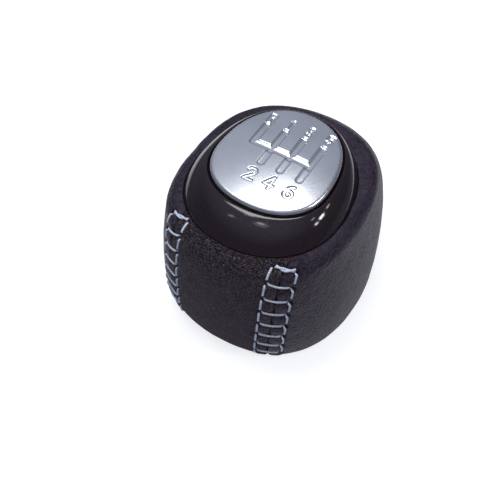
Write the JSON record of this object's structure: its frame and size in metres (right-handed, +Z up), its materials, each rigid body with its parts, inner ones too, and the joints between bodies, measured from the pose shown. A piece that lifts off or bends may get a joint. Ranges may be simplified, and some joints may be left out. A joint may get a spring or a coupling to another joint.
{
  "type": "gear shift knob",
  "caption": "Egg-shaped leather gear shift knob with a rear suede panel, laced seams and a domed metal gate-pattern plate in a gloss ring; slides onto a gear lever.",
  "frame": {"origin": "mouth of the lever bore, on its axis, on the plane the knob stands on", "axes": "+Z up along the lever axis, out of the bore's blind end; +Y to the front of the car; +X to the driver's right"},
  "size_m": [0.058, 0.0691, 0.0479],
  "materials": {
    "satin_metal": "satin plated",
    "adhesive_foam": "matte foam tape",
    "gloss_black": "piano gloss",
    "core_plastic": "moulded",
    "grip_leather": "fine grain, semi matte",
    "panel_suede": "microfibre suede nap",
    "sleeve_metal": "turned",
    "screw_steel": "zinc plated",
    "seam_thread": "twisted polyester thread"
  },
  "bodies": {
    "root": {"shift_plate": "satin_metal", "plate_adhesive_pad": "adhesive_foam", "trim_ring": "gloss_black", "grip_core": "core_plastic", "leather_wrap": "grip_leather", "suede_panel": "panel_suede", "lever_sleeve": "sleeve_metal", "base_plate": "core_plastic", "base_screws": "screw_steel", "right_seam_suede_stitches": "seam_thread", "right_seam_leather_stitches": "seam_thread", "right_seam_lacing": "seam_thread", "left_seam_suede_stitches": "seam_thread", "left_seam_leather_stitches": "seam_thread", "left_seam_lacing": "seam_thread"}
  },
  "joints": []
}
